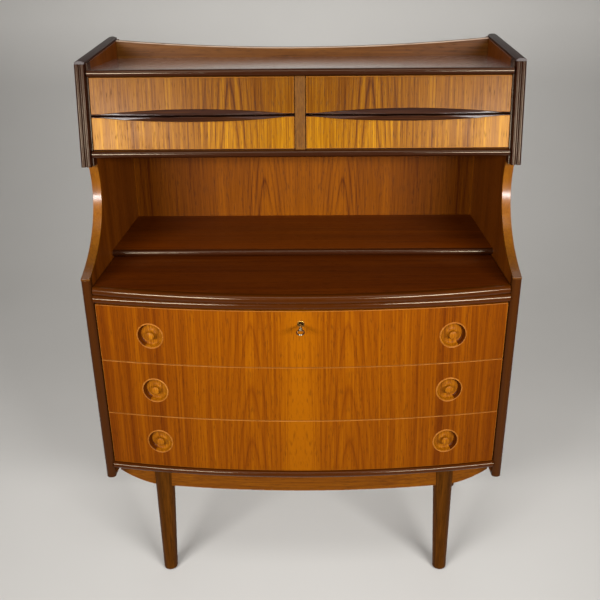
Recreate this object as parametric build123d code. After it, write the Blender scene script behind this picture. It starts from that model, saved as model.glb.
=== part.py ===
from build123d import *
import math
import os

# Secretary desk with four small raked drawers, a niche, a pull-out writing slab and three bow-front
# drawers. Millimetres. +X is the sitter's right, +Z up, and the front faces -Y. The origin is on the
# floor, in the middle of the overall box. Depths are given as distances in front of the back plane.

# ---- driving dimensions ----
INSIDE_HALF = 409.0          # half the clear width between the side panels
SIDE_THICK = 18.0
STRIP_INNER = 412.0          # inner side of the beads on the upper front strips and of the caps
STRIP_HALF = 432.0           # half the overall width, over the upper front strips
LOWER_STRIP_HALF = 428.0

BACK_HEIGHT = 1165.0         # where the slope of the side caps meets the back plane
CAP_THICK = 6.0
CAP_BACK = 32.0
CAP_FRONT = 309.0
CAP_SLOPE = 31 / 314
SIDE_BOTTOM = 283.0
REBATE_DEEP = 10.0
REBATE_WIDE = 8.0

STRIP_LOW = 938.0            # lower end of the raked upper front strips
STRIP_FRONT_LOW = 347.0
RAKE = 34 / 196              # the upper front leans back by this much per mm of height
FRONT_RECESS = 12.0          # small drawer faces behind the strips

LOWER_FRONT = 456.0          # front of the lower strips
LOWER_STRIP_DEEP = 16.0
SCOOP_CENTRE = (566.0, 895.0)
SCOOP_RADII = (260.0, 166.0)
LIPPING_THICK = 4.0

TOP_BOARD_TOP = 1118.0
TOP_BOARD_THICK = 14.0
GALLERY_BACK = 42.0
GALLERY_FRONT = 60.0
GALLERY_HOUSING = 3.0        # depth of the groove that the gallery stands in
GALLERY_END_TOP = 1155.0
GALLERY_MID_TOP = 1138.0
GALLERY_LIPPING = 2.5

CEILING_Z = (954.0, 968.0)   # board over the niche, which carries the small drawers
DIVIDER_HALF = 10.0
PARTING_Z = 1032.5           # between the upper and lower small drawers
PARTING_GAP = 3.0

SHELF_Z = (728.5, 742.0)
SHELF_FRONT = 278.0
SLAB_Z = (709.0, 726.0)
SLAB_BOW = 50.0
RAIL_Z = (692.0, 708.5)
BOTTOM_Z = (308.0, 322.0)

FACE_BOW = 38.0
RAIL_FRONT = 456.0           # at the sides; the bow adds to it at the middle
BOTTOM_FRONT = 458.0
DRAWER_FACE = 451.0
DRAWER_LOW = 322.5
DRAWER_PITCH = 122.5
DRAWER_GAP = 1.0
DRAWER_HALF = 407.0
FRONT_THICK = 20.0

PULL_X = 300.0
PULL_RADIUS = 27.0
PULL_DEEP = 15.0

KEY_Z = 663.0
KEY_REACH = 52.0             # how far the key stands out of the drawer face

APRON_FRONT = 410.0
APRON_THICK = 18.0
APRON_LOW = 241.5
REAR_RAIL_FRONT = 104.0

FACE_MID = DRAWER_FACE + FACE_BOW
OVERALL_DEPTH = FACE_MID + KEY_REACH
HALF_DEPTH = OVERALL_DEPTH / 2

os.makedirs("parts", exist_ok=True)


# ---- helpers ----
def fore(distance):
    """Y of a place that lies this far in front of the back plane."""
    return HALF_DEPTH - distance


def board(x_span, d_span, z_span):
    """Rectangular board between two x values, two depths and two heights."""
    centre = (sum(x_span) / 2, fore(sum(d_span) / 2), sum(z_span) / 2)
    size = [abs(span[1] - span[0]) for span in (x_span, d_span, z_span)]
    return Pos(*centre) * Box(*size)


def polygon(points):
    return Face(Wire.make_polygon([Vector(*point) for point in points], close=True))


def side_prism(points, x_span):
    """Outline of (depth, height) points, run across the desk."""
    face = polygon([(x_span[0], fore(d), z) for d, z in points])
    return Solid.extrude(face, Vector(x_span[1] - x_span[0], 0, 0))


def mirror_x(shape):
    return mirror(shape, about=Plane.YZ)


def save(name, *solids):
    shape = solids[0] if len(solids) == 1 else Compound(children=[Part(s.wrapped) for s in solids])
    export_step(shape, f"parts/{name}.step")


def save_pair(name, right):
    save(f"{name}_right", right)
    save(f"{name}_left", mirror_x(right))


def rod(start, axis, radius, length):
    """Round bar from start along the unit vector axis."""
    return Solid.make_cylinder(radius, length, Plane(origin=start, z_dir=axis))


def arc_drop(x, bow, half=INSIDE_HALF):
    """How far a bowed front has fallen back from its middle at x."""
    radius = (half**2 + bow**2) / (2 * bow)
    return radius - math.sqrt(radius**2 - x**2)


def bow_plate(half, side_front, bow, thick, z_span):
    """Board of constant thickness whose front and back follow the same arc in plan."""
    z = z_span[0]
    front = ThreePointArc(
        (-half, fore(side_front), z), (0, fore(side_front + bow), z), (half, fore(side_front), z))
    side_back = side_front - thick
    back = ThreePointArc(
        (half, fore(side_back), z), (0, fore(side_back + bow), z), (-half, fore(side_back), z))
    ends = [Line(front @ 1, back @ 0), Line(back @ 1, front @ 0)]
    face = Face(Wire([front, ends[0], back, ends[1]]))
    return Solid.extrude(face, Vector(0, 0, z_span[1] - z_span[0]))


def bow_board(half, back, side_front, bow, z_span):
    """Board with a straight back edge and a bowed front edge."""
    z = z_span[0]
    front = ThreePointArc(
        (-half, fore(side_front), z), (0, fore(side_front + bow), z), (half, fore(side_front), z))
    corner_right = (half, fore(back), z)
    corner_left = (-half, fore(back), z)
    sides = [Line(front @ 1, corner_right), Line(corner_right, corner_left), Line(corner_left, front @ 0)]
    face = Face(Wire([front, *sides]))
    return Solid.extrude(face, Vector(0, 0, z_span[1] - z_span[0]))


def nosing_face(x, back, front, z_span, bulge):
    """Section of a moulding with a rounded front edge, in a plane across x."""
    low, high = z_span
    arc = ThreePointArc(
        (x, fore(front - bulge), low), (x, fore(front), (low + high) / 2), (x, fore(front - bulge), high))
    corners = [(x, fore(back), high), (x, fore(back), low)]
    lines = [Line(arc @ 1, corners[0]), Line(*corners), Line(corners[1], arc @ 0)]
    return Face(Wire([arc, *lines]))


def straight_nosing(half, back, front, z_span, bulge):
    return Solid.extrude(nosing_face(-half, back, front, z_span, bulge), Vector(2 * half, 0, 0))


def bow_nosing(half, side_front, bow, deep, z_span, bulge):
    """Rounded moulding that follows the bow, cut square at both ends."""
    radius = (half**2 + bow**2) / (2 * bow)
    mid_front = side_front + bow
    centre_y = fore(mid_front) + radius
    sweep = math.degrees(math.asin(half / radius)) + 1
    spin = Axis((0, centre_y, 0), (0, 0, 1))
    section = nosing_face(0, mid_front - deep, mid_front, z_span, bulge).rotate(spin, -sweep)
    ring = revolve(section, spin, 2 * sweep)
    trim = board((-half, half), (side_front - 2 * deep, mid_front + deep), (z_span[0] - 1, z_span[1] + 1))
    return ring & trim


def strip_front(z):
    """Depth of the raked upper front at a height."""
    return STRIP_FRONT_LOW - RAKE * (z - STRIP_LOW)


def scoop(grow):
    """Elliptical bite between the upper and lower fronts, larger by grow all round."""
    radii = [radius + grow for radius in SCOOP_RADII]
    outline = Face(Wire(Edge.make_ellipse(radii[0], radii[1])))
    flat = Plane(origin=(0, 0, 0), x_dir=(0, 1, 0), z_dir=(1, 0, 0))
    placed = flat.location * outline
    placed = Pos(-500, fore(SCOOP_CENTRE[0]), SCOOP_CENTRE[1]) * placed
    bite = Solid.extrude(placed, Vector(1000, 0, 0))
    return bite & board((-501, 501), (0, 900), (600, STRIP_LOW))


def scoop_edge(z, grow):
    """Depth of the scoop's rear edge at a height."""
    rise = (z - SCOOP_CENTRE[1]) / (SCOOP_RADII[1] + grow)
    return SCOOP_CENTRE[0] - (SCOOP_RADII[0] + grow) * math.sqrt(1 - rise**2)


def above_caps(lift):
    """Everything over the sloping line that lies lift above the undersides of the caps."""
    back_z = BACK_HEIGHT - CAP_THICK + lift
    reach = 600
    front_z = back_z - CAP_SLOPE * reach
    return side_prism([(-10, back_z), (reach, front_z), (reach, 1300), (-10, 1300)], (-500, 500))


# ---- fasteners, made first because they are cut out of what they hold ----
def back_panel_screws():
    screws = []
    for z in (330, 450, 570, 690, 740, 860, 980, 1090):
        for x in (-413, 413):
            shank = rod((x, fore(4), z), (0, -1, 0), 1.6, 20)
            head = rod((x, fore(1.8), z), (0, -1, 0), 3.5, 2.2)
            screws.append(shank + head)
    return screws


def leg_frame_screws():
    screws = []
    for x in (-265, 265):
        for depth in (150, 330):
            shank = rod((x, fore(depth), 273), (0, 0, 1), 2, 45)
            head = rod((x, fore(depth), 270), (0, 0, 1), 3.8, 3)
            screws.append(shank + head)
    return screws


PANEL_SCREWS = back_panel_screws()
FRAME_SCREWS = leg_frame_screws()


# ---- sides ----
def side_panel():
    strip_back = scoop_edge(STRIP_LOW, LIPPING_THICK)
    shelf_corner = LOWER_FRONT - LOWER_STRIP_DEEP
    top = 1200
    slant_top = CAP_BACK + (top - BACK_HEIGHT) * CAP_BACK / (BACK_HEIGHT - TOP_BOARD_TOP)
    outline = [
        (0, SIDE_BOTTOM), (shelf_corner, SIDE_BOTTOM), (shelf_corner, STRIP_LOW), (strip_back, STRIP_LOW),
        (strip_back - RAKE * (top - STRIP_LOW), top), (slant_top, top), (0, TOP_BOARD_TOP)]
    panel = side_prism(outline, (INSIDE_HALF, INSIDE_HALF + SIDE_THICK))
    rebate = board((INSIDE_HALF, INSIDE_HALF + REBATE_WIDE), (0, REBATE_DEEP), (BOTTOM_Z[0], TOP_BOARD_TOP))
    panel = panel - scoop(LIPPING_THICK) - above_caps(0) - rebate
    for screw in PANEL_SCREWS[1::2]:
        panel = panel - screw
    return panel


def side_cap():
    base = BACK_HEIGHT - CAP_THICK - CAP_SLOPE * CAP_BACK
    y = fore(CAP_BACK)
    shoulder = base + CAP_THICK / 2
    crest = base + CAP_THICK
    inner, outer = STRIP_INNER, STRIP_HALF
    crown = ThreePointArc((inner, y, shoulder), ((inner + outer) / 2, y, crest), (outer, y, shoulder))
    rest = [
        Line(crown @ 1, (outer, y, base)), Line((outer, y, base), (inner, y, base)),
        Line((inner, y, base), crown @ 0)]
    section = Face(Wire([crown, *rest]))
    length = CAP_FRONT - CAP_BACK
    return Solid.extrude(section, Vector(0, -length, -CAP_SLOPE * length))


def upper_front_strip():
    """Raked strip with a low inner fillet and two round beads along its front."""
    inner, outer = STRIP_INNER, STRIP_HALF
    quirk = 1.0
    fillet_low = 7.0
    bead_wide = (outer - inner - quirk) / 2
    bulge = bead_wide / 2 - 0.5
    y_base = fore(STRIP_FRONT_LOW - bulge)
    y_front = fore(STRIP_FRONT_LOW)
    y_back = fore(scoop_edge(STRIP_LOW, LIPPING_THICK))
    z = STRIP_LOW
    beads = []
    for left in (inner, inner + bead_wide + quirk):
        right = left + bead_wide
        beads.append(ThreePointArc((left, y_base, z), ((left + right) / 2, y_front, z), (right, y_base, z)))
    path = [
        (outer, y_back, z), (INSIDE_HALF, y_back, z), (INSIDE_HALF, y_base + fillet_low, z),
        (inner, y_base + fillet_low, z), beads[0] @ 0]
    edges = [beads[0], Line(beads[0] @ 1, beads[1] @ 0), beads[1], Line(beads[1] @ 1, path[0])]
    edges += [Line(a, b) for a, b in zip(path[:-1], path[1:])]
    height = 250
    blank = Solid.extrude(Face(Wire(edges)), Vector(0, RAKE * height, height))
    return blank - above_caps(0)


def lower_front_strip():
    inner, outer = INSIDE_HALF, LOWER_STRIP_HALF
    z = SIDE_BOTTOM
    y_back = fore(LOWER_FRONT - LOWER_STRIP_DEEP)
    y_shoulder = fore(LOWER_FRONT - 5)
    nose = ThreePointArc(
        (inner, y_shoulder, z), ((inner + outer) / 2, fore(LOWER_FRONT), z), (outer, y_shoulder, z))
    edges = [
        nose, Line(nose @ 1, (outer, y_back, z)), Line((outer, y_back, z), (inner, y_back, z)),
        Line((inner, y_back, z), nose @ 0)]
    blank = Solid.extrude(Face(Wire(edges)), Vector(0, 0, SCOOP_CENTRE[1] - z))
    return blank - scoop(LIPPING_THICK)


def curved_lipping():
    band = scoop(LIPPING_THICK) - scoop(0)
    reach = board((INSIDE_HALF, INSIDE_HALF + SIDE_THICK), (0, LOWER_FRONT), (700, STRIP_LOW))
    return band & reach


save_pair("side_panel", side_panel())
save_pair("upper_front_strip", upper_front_strip())
save_pair("lower_front_strip", lower_front_strip())
save("side_caps", side_cap(), mirror_x(side_cap()))
save("curved_lippings", curved_lipping(), mirror_x(curved_lipping()))


# ---- top, gallery and the boards of the upper section ----
FULL_WIDTH = (-INSIDE_HALF, INSIDE_HALF)
TOP_Z = (TOP_BOARD_TOP - TOP_BOARD_THICK, TOP_BOARD_TOP)
MOULDING_DEEP = 13.0


def gallery_face(low_end, low_mid, high_end, high_mid):
    """Band across the desk between two edges, each an arc or a straight line."""
    y = fore(GALLERY_FRONT)
    half = INSIDE_HALF
    top = ThreePointArc((-half, y, high_end), (0, y, high_mid), (half, y, high_end))
    if low_end == low_mid:
        bottom = Line((half, y, low_end), (-half, y, low_end))
    else:
        bottom = ThreePointArc((half, y, low_end), (0, y, low_mid), (-half, y, low_end))
    return Face(Wire([top, Line(top @ 1, bottom @ 0), bottom, Line(bottom @ 1, top @ 0)]))


def gallery_solid(*heights):
    return Solid.extrude(gallery_face(*heights), Vector(0, GALLERY_FRONT - GALLERY_BACK, 0))


top_front = strip_front(sum(TOP_Z) / 2) - 1
ceiling_front = strip_front(sum(CEILING_Z) / 2) - 1
gallery_low = TOP_BOARD_TOP - GALLERY_HOUSING
gallery_groove = board(FULL_WIDTH, (GALLERY_BACK, GALLERY_FRONT), (gallery_low, TOP_BOARD_TOP + 1))
save("top_board", board(FULL_WIDTH, (REBATE_DEEP, top_front - MOULDING_DEEP), TOP_Z) - gallery_groove)
save("top_moulding", straight_nosing(INSIDE_HALF, top_front - MOULDING_DEEP, top_front, TOP_Z, 6))
save("niche_ceiling", board(FULL_WIDTH, (REBATE_DEEP, ceiling_front - MOULDING_DEEP), CEILING_Z))
save("niche_ceiling_moulding",
     straight_nosing(INSIDE_HALF, ceiling_front - MOULDING_DEEP, ceiling_front, CEILING_Z, 6))

lipping_end = GALLERY_END_TOP - GALLERY_LIPPING
lipping_mid = GALLERY_MID_TOP - GALLERY_LIPPING
save("back_gallery", gallery_solid(gallery_low, gallery_low, lipping_end, lipping_mid))
save("gallery_lipping", gallery_solid(lipping_end, lipping_mid, GALLERY_END_TOP, GALLERY_MID_TOP))


def centre_divider():
    low, high = CEILING_Z[1], TOP_Z[0]
    inset = FRONT_RECESS - 3
    outline = [
        (REBATE_DEEP, low), (strip_front(low) - inset, low), (strip_front(high) - inset, high),
        (REBATE_DEEP, high)]
    return side_prism(outline, (-DIVIDER_HALF, DIVIDER_HALF))


save("centre_divider", centre_divider())

# ---- boards of the lower section ----
shelf_board_front = SHELF_FRONT - 10
save("niche_shelf", board(FULL_WIDTH, (REBATE_DEEP, shelf_board_front), SHELF_Z))
save("niche_shelf_nosing", straight_nosing(INSIDE_HALF, shelf_board_front, SHELF_FRONT, SHELF_Z, 6))

NOSING_DEEP = 14.0


def moulded_board(side_front, z_span, bulge):
    """Board whose bowed front edge carries a rounded moulding."""
    plain = bow_board(INSIDE_HALF, REBATE_DEEP, side_front - NOSING_DEEP, FACE_BOW, z_span)
    return plain + bow_nosing(INSIDE_HALF, side_front, FACE_BOW, NOSING_DEEP + 1, z_span, bulge)


lock_mortise = board((-12.5, 12.5), (FACE_MID - 26.5, FACE_MID - 21), (RAIL_Z[0] - 1, RAIL_Z[0] + 8))
save("desk_rail", moulded_board(RAIL_FRONT, RAIL_Z, 7) - lock_mortise)
bottom_board = moulded_board(BOTTOM_FRONT, BOTTOM_Z, 6)
for screw in FRAME_SCREWS:
    bottom_board = bottom_board - screw
save("bottom_board", bottom_board)

# ---- writing slab ----
SLAB_HALF = INSIDE_HALF - 1.5
SLAB_NOSING = 16.0
save("writing_slab", bow_board(SLAB_HALF, 30, LOWER_FRONT - SLAB_NOSING, SLAB_BOW, SLAB_Z))
slab_edge = bow_nosing(SLAB_HALF, LOWER_FRONT, SLAB_BOW, SLAB_NOSING + 1, SLAB_Z, 6)
save("slab_nosing", slab_edge - bow_board(SLAB_HALF, 30, LOWER_FRONT - SLAB_NOSING, SLAB_BOW, SLAB_Z))


# ---- back panels ----
def back_panel(z_span, screws):
    half = INSIDE_HALF + REBATE_WIDE
    panel = board((-half, half), (4, REBATE_DEEP), z_span)
    for screw in screws:
        panel = panel - screw
    return panel


PANEL_SPLIT = 710.0
save("upper_back_panel", back_panel((PANEL_SPLIT, TOP_BOARD_TOP), PANEL_SCREWS[8:]))
save("lower_back_panel", back_panel((BOTTOM_Z[0], PANEL_SPLIT), PANEL_SCREWS[:8]))
save("back_panel_screws", *PANEL_SCREWS)

# ---- leg frame ----
FRAME_TOP = BOTTOM_Z[0]


def rail_blank(low):
    """Thick blank with the outline of a frame rail, whose ends sweep up to the side panels."""
    half, flat, end_rise = INSIDE_HALF, 325, 30.5
    y = fore(600)
    sweep = [
        ThreePointArc((side * flat, y, low), (side * 370, y, low + 11), (side * half, y, low + end_rise))
        for side in (1, -1)]
    edges = [
        sweep[0], Line(sweep[0] @ 1, (half, y, FRAME_TOP)), Line((half, y, FRAME_TOP), (-half, y, FRAME_TOP)),
        Line((-half, y, FRAME_TOP), sweep[1] @ 1), sweep[1], Line(sweep[1] @ 0, sweep[0] @ 0)]
    return Solid.extrude(Face(Wire(edges)), Vector(0, 700, 0))


apron_z = (200, FRAME_TOP)
apron_front = bow_plate(INSIDE_HALF, APRON_FRONT, FACE_BOW, APRON_THICK, apron_z) & rail_blank(APRON_LOW)
apron_rear = board(FULL_WIDTH, (REAR_RAIL_FRONT - APRON_THICK, REAR_RAIL_FRONT), apron_z)
apron_rear = apron_rear & rail_blank(APRON_LOW + 8)


def leg(top, foot, radii, rail):
    """Tapered round leg, bridled over its rail. top and foot are (x, depth)."""
    high = Pos(top[0], fore(top[1]), FRAME_TOP) * Circle(radii[0])
    low = Pos(foot[0], fore(foot[1]), 3) * Circle(radii[1])
    post = loft([low, high])
    rim = post.edges().sort_by(Axis.Z)[0]
    return fillet(rim, 2.5) - rail


def glide(foot):
    return rod((foot[0], fore(foot[1]), 0), (0, 0, 1), 11, 3)


FRONT_FOOT = (317, 414)
REAR_FOOT = (390, 95)
save_pair("leg_front", leg((309, 416), FRONT_FOOT, (22.5, 15.5), apron_front))
save_pair("leg_rear", leg((387, 95), REAR_FOOT, (19.5, 14), apron_rear))
right_glides = [glide(FRONT_FOOT), glide(REAR_FOOT)]
save("leg_glides", *right_glides, *[mirror_x(piece) for piece in right_glides])
save("apron_front", apron_front)
save("apron_rear", apron_rear)


def cross_rail(x, screws):
    rail = board((x - 10, x + 10), (REAR_RAIL_FRONT, 425), (258, FRAME_TOP)) - apron_front
    for screw in screws:
        centre = screw.bounding_box().center()
        rail = rail - rod((centre.X, centre.Y, 257), (0, 0, 1), 4.2, 16) - screw
    return rail


save("leg_frame_cross_rails", cross_rail(-265, FRAME_SCREWS[:2]), cross_rail(265, FRAME_SCREWS[2:]))
save("leg_frame_screws", *FRAME_SCREWS)

# ---- small drawers ----
SMALL_GAP = 1.2              # round the edges of each drawer front
SMALL_WALL = 8.0
SMALL_FRONT_THICK = 12.0
SMALL_BACK = 30.0
SIDE_CLEARANCE = 5.0         # from a drawer side to the carcass beside it
LIP_HEIGHT = 10.5
LIP_REACH = 9.0
LIP_ROOT = 1.8               # strip of the lip's wood along the whole edge of the drawer front
RUNNER_HIGH = 8.0
SMALL_X = (DIVIDER_HALF + SMALL_GAP, INSIDE_HALF - SMALL_GAP)
SMALL_ROWS = {
    "lower": (CEILING_Z[1] + SMALL_GAP, PARTING_Z - PARTING_GAP / 2),
    "upper": (PARTING_Z + PARTING_GAP / 2, TOP_Z[0] - SMALL_GAP)}


def raked_slab(x_span, z_span, behind, thick):
    """Plate parallel to the raked front, its face this far behind the strips."""
    low, high = z_span
    outline = [
        (strip_front(low) - behind, low), (strip_front(high) - behind, high),
        (strip_front(high) - behind - thick, high), (strip_front(low) - behind - thick, low)]
    return side_prism(outline, x_span)


def to_front(x_span, z_span, back):
    """Board from a depth up to the rear of the raked drawer fronts."""
    inner = FRONT_RECESS + SMALL_FRONT_THICK
    low, high = z_span
    outline = [(back, low), (strip_front(low) - inner, low), (strip_front(high) - inner, high), (back, high)]
    return side_prism(outline, x_span)


def drawer_lip(x_span, parting, up):
    """Long lip whose outline is half an eye; it is deepest where it meets its neighbour."""
    left, right = x_span
    middle = (left + right) / 2
    peak = parting + up * LIP_HEIGHT
    y = fore(400)
    arc = ThreePointArc((left, y, parting), (middle, y, peak), (right, y, parting))
    eye = Solid.extrude(Face(Wire([arc, Line(arc @ 1, arc @ 0)])), Vector(0, 200, 0))
    face = strip_front(parting) - FRONT_RECESS
    face_far = strip_front(peak) - FRONT_RECESS
    profile = [(face, parting), (face + LIP_REACH, parting), (face_far + 1.5, peak), (face_far, peak)]
    wedge = side_prism(profile, x_span)
    low = parting - up
    reach_arc = ThreePointArc(
        (left, fore(face - 0.5), low), (middle, fore(face + LIP_REACH), low), (right, fore(face - 0.5), low))
    plan = Face(Wire([reach_arc, Line(reach_arc @ 1, reach_arc @ 0)]))
    height = up * (LIP_HEIGHT + 2)
    swell = Solid.extrude(plan, Vector(0, RAKE * height, height))
    root_z = sorted((parting, parting + up * LIP_ROOT))
    root = raked_slab(x_span, root_z, FRONT_RECESS, SMALL_FRONT_THICK)
    return (eye & wedge & swell) + root


def small_runner_z(z_span):
    middle = sum(z_span) / 2
    return (middle - RUNNER_HIGH / 2, middle + RUNNER_HIGH / 2)


def small_drawer_box(x_span, z_span):
    """Two grooved sides, a back and a thin bottom, behind a drawer front."""
    outer = (x_span[0] + SIDE_CLEARANCE - SMALL_GAP, x_span[1] - SIDE_CLEARANCE + SMALL_GAP)
    inner = (outer[0] + SMALL_WALL, outer[1] - SMALL_WALL)
    side_z = (z_span[0] + 4, z_span[1] - 6)
    bottom_z = (side_z[0] + 4, side_z[0] + 8)
    bottom = to_front((inner[0] - 3, inner[1] + 3), bottom_z, SMALL_BACK)
    groove_z = [z + side * 0.4 for z, side in zip(small_runner_z(z_span), (-1, 1))]
    sides = []
    for wall, cut in (((outer[0], inner[0]), (outer[0] - 1, outer[0] + 4)),
                      ((inner[1], outer[1]), (outer[1] - 4, outer[1] + 1))):
        groove = board(cut, (SMALL_BACK - 1, 280), groove_z)
        sides.append(to_front(wall, side_z, SMALL_BACK) - bottom - groove)
    back = board(inner, (SMALL_BACK, SMALL_BACK + SMALL_WALL), (bottom_z[1], side_z[1] - 5))
    return [*sides, back, bottom]


def small_runners():
    """Battens on the side panels and the divider, one pair to each small drawer."""
    right = []
    for z_span in SMALL_ROWS.values():
        z = small_runner_z(z_span)
        right.append(board((DIVIDER_HALF, DIVIDER_HALF + 8.4), (40, 268), z))
        right.append(board((INSIDE_HALF - 8.4, INSIDE_HALF), (40, 268), z))
    return [*right, *[mirror_x(piece) for piece in right]]


for row, z_span in SMALL_ROWS.items():
    parting, up = (z_span[1], -1) if row == "lower" else (z_span[0], 1)
    lip = drawer_lip(SMALL_X, parting, up)
    front = raked_slab(SMALL_X, z_span, FRONT_RECESS, SMALL_FRONT_THICK) - lip
    box = small_drawer_box(SMALL_X, z_span)
    save_pair(f"small_drawer_{row}_front", front)
    save_pair(f"small_drawer_{row}_lip", lip)
    save(f"small_drawer_{row}_box_right", *box)
    save(f"small_drawer_{row}_box_left", *[mirror_x(piece) for piece in box])
save("small_drawer_runners", *small_runners())

# ---- big drawers ----
BIG_WALL = 12.0
BIG_BACK = 36.0
BIG_OUTER = INSIDE_HALF - SIDE_CLEARANCE
BIG_INNER = BIG_OUTER - BIG_WALL
BIG_RUNNER = (50.3, 62.3)    # heights above the drawer's own base line
FACE_RADIUS = (DRAWER_HALF**2 + FACE_BOW**2) / (2 * FACE_BOW)


def pull_place(x, z):
    """Where a pull sits: its axis stands square on the bowed face."""
    lean = math.degrees(math.asin(x / FACE_RADIUS))
    return Pos(x, fore(FACE_MID - arc_drop(x, FACE_BOW, DRAWER_HALF)), z) * Rot(0, 0, lean)


def drawer_pull():
    """Turned cup on the Y axis: a thin rim, a round recess and a domed knob that stands a little proud."""
    rim_in, wall_foot, floor, floor_edge = 24.3, 22.6, 10.5, 20.5
    neck, neck_foot, head, shoulder, crown = 7.0, 9.6, 8.4, -2.0, -4.2
    outline = [
        (0, PULL_DEEP), (PULL_RADIUS, PULL_DEEP), (PULL_RADIUS, 0), (PULL_RADIUS - 0.8, -0.8),
        (rim_in + 0.8, -0.8), (rim_in, 0.2), (wall_foot, floor - 2.5), (floor_edge, floor),
        (neck_foot, floor - 0.8), (neck, floor - 3.5), (neck, 3.0), (head, 0.2), (head, shoulder)]
    rise = shoulder - crown
    ball = (head**2 + rise**2) / (2 * rise)
    half_way = (head / 2, crown + ball - math.sqrt(ball**2 - head**2 / 4), 0)
    dome = ThreePointArc((head, shoulder, 0), half_way, (0, crown, 0))
    corners = [Vector(r, t, 0) for r, t in outline]
    lines = [Line(a, b) for a, b in zip(corners[:-1], corners[1:])]
    section = Face(Wire([*lines, dome, Line(dome @ 1, corners[0])]))
    return revolve(section, Axis.Y, 360)


def big_drawer_front(z_span):
    front = bow_plate(DRAWER_HALF, DRAWER_FACE, FACE_BOW, FRONT_THICK, z_span)
    for x in (-PULL_X, PULL_X):
        hole = rod((0, -5, 0), (0, 1, 0), PULL_RADIUS, PULL_DEEP + 5)
        front = front - pull_place(x, sum(z_span) / 2) * hole
    return front


def big_drawer_box(base, front):
    """Two grooved sides, a back and a thin bottom, housed behind a bowed front."""
    side_z = (base + 8, base + 112)
    bottom_z = (base + 14, base + 19)
    bottom = bow_board(BIG_INNER + 4, BIG_BACK, DRAWER_FACE - FRONT_THICK, FACE_BOW, bottom_z) - front
    side = board((BIG_INNER, BIG_OUTER), (BIG_BACK, DRAWER_FACE - 8), side_z) - front - bottom
    groove_z = (base + BIG_RUNNER[0] - 0.4, base + BIG_RUNNER[1] + 0.4)
    side = side - board((BIG_OUTER - 6, BIG_OUTER + 1), (BIG_BACK - 1, 426), groove_z)
    back = board((-BIG_INNER, BIG_INNER), (BIG_BACK, BIG_BACK + BIG_WALL), (bottom_z[1], side_z[1] - 8))
    return [side, mirror_x(side), back, bottom]


def big_runners():
    right = []
    for row in range(3):
        base = DRAWER_LOW + row * DRAWER_PITCH
        z = [base + height for height in BIG_RUNNER]
        right.append(board((BIG_OUTER - 5.4, INSIDE_HALF), (40, 420), z))
    return [*right, *[mirror_x(piece) for piece in right]]


# ---- lock of the top drawer ----
CASE_BACK = FACE_MID - 28
CASE_FRONT = FACE_MID - 14
CHANNEL_BACK = FACE_MID - 26
CHANNEL_FRONT = FACE_MID - 21.6
KEY_HOLE = 3.2
TOP_EDGE = DRAWER_LOW + 3 * DRAWER_PITCH - DRAWER_GAP / 2


def lock_blank():
    return board((-28, 28), (CASE_BACK, CASE_FRONT), (640, TOP_EDGE))


def lock_case():
    """Metal box with a channel for the bolt and a round chamber for the key's bit."""
    channel = board((-12.3, 12.3), (CHANNEL_BACK, CHANNEL_FRONT), (667, TOP_EDGE + 1))
    chamber = rod((0, fore(CASE_FRONT - 1.5), KEY_Z), (0, 1, 0), 9, 5)
    hole = rod((0, fore(CASE_FRONT + 1), KEY_Z), (0, 1, 0), KEY_HOLE, 8)
    return lock_blank() - channel - chamber - hole


def lock_bolt():
    return board((-12, 12), (CHANNEL_BACK + 0.3, CHANNEL_FRONT - 0.3), (668, TOP_EDGE - 0.85))


def escutcheon():
    """Ring round the keyhole, let into the drawer face."""
    start = (0, fore(FACE_MID + 1), KEY_Z)
    return rod(start, (0, 1, 0), 6.8, 7) - rod(start, (0, 1, 0), 4, 7)


def key():
    """Round shaft with a bit inside the lock and an oval ring bow outside it."""
    end = FACE_MID + KEY_REACH
    tip = CASE_FRONT - 5.6
    bow_long, bow_wide, bow_thick = 25.0, 17.0, 3.0
    bow_back = end - bow_long
    shaft = rod((0, fore(bow_back + 2), KEY_Z), (0, 1, 0), 2.5, bow_back + 2 - tip)
    collar = rod((0, fore(bow_back), KEY_Z), (0, 1, 0), 4, 3)
    bow_centre = (0, fore(end - bow_long / 2), KEY_Z - bow_thick / 2)
    ring = Solid.extrude(Face(Wire(Edge.make_ellipse(bow_wide / 2, bow_long / 2))), Vector(0, 0, bow_thick))
    eye = Solid.extrude(Face(Wire(Edge.make_ellipse(bow_wide / 2 - 3.2, bow_long / 2 - 3.2))),
                        Vector(0, 0, bow_thick))
    bit = board((1, 8), (tip + 0.6, tip + 4), (KEY_Z - 1.2, KEY_Z + 1.2))
    return shaft + collar + bit + Pos(*bow_centre) * (ring - eye)


for row, name in enumerate(("bottom", "middle", "top")):
    base = DRAWER_LOW + row * DRAWER_PITCH
    z_span = (base + DRAWER_GAP / 2, base + DRAWER_PITCH - DRAWER_GAP / 2)
    front = big_drawer_front(z_span)
    box = big_drawer_box(base, front)
    if name == "top":
        keyway = rod((0, fore(FACE_MID + 1), KEY_Z), (0, 1, 0), 4, 20)
        front = front - lock_blank() - keyway - escutcheon()
    save(f"big_drawer_{name}_front", front)
    save(f"big_drawer_{name}_box", *box)
    pulls = [pull_place(x, sum(z_span) / 2) * drawer_pull() for x in (-PULL_X, PULL_X)]
    save(f"big_drawer_{name}_pulls", *pulls)
save("big_drawer_runners", *big_runners())
save("lock_case", lock_case())
save("lock_bolt", lock_bolt())
save("key_escutcheon", escutcheon())
save("key", key())
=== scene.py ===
import math

import bmesh
import bpy
from mathutils import Matrix, Vector


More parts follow.
